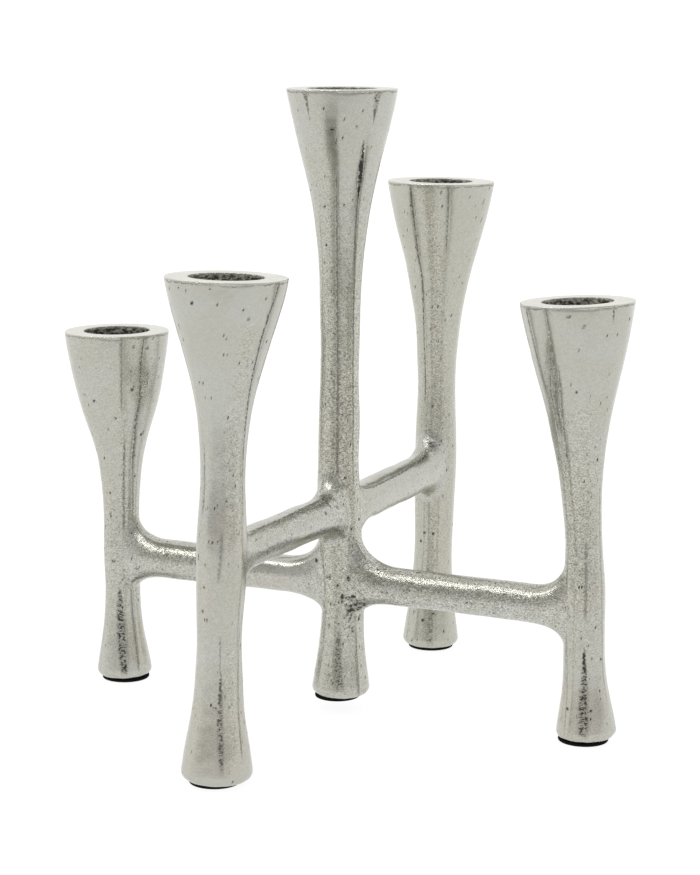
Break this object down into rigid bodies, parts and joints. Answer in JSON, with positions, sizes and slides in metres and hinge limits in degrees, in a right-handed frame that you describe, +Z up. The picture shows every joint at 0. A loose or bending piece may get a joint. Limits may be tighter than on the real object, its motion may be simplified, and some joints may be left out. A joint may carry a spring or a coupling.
{
  "type": "tabletop candelabra",
  "caption": "Cast-metal tabletop candelabra: funnel-topped candle posts of different heights joined by two crossing beams, each post on a flared foot with a black pad.",
  "frame": {"origin": "on the table, under the middle of the whole outline; the centre post's axis passes about a millimetre from it", "axes": "+Z up; +Y along the upper beam, towards the back post; +X along the lower beam, towards the right post"},
  "size_m": [0.2072, 0.2086, 0.2117],
  "materials": {
    "cast_metal": "sand-cast, ground and softly polished, warm nickel grey with cast grain left in the hollows",
    "foot_pad": "matte black foam rubber, self-adhesive"
  },
  "bodies": {
    "root": {"centre_post": "cast_metal", "front_post": "cast_metal", "left_post": "cast_metal", "back_post": "cast_metal", "right_post": "cast_metal", "front_arm": "cast_metal", "left_arm": "cast_metal", "back_arm": "cast_metal", "right_arm": "cast_metal", "centre_pad": "foot_pad", "front_pad": "foot_pad", "left_pad": "foot_pad", "back_pad": "foot_pad", "right_pad": "foot_pad"}
  },
  "joints": []
}
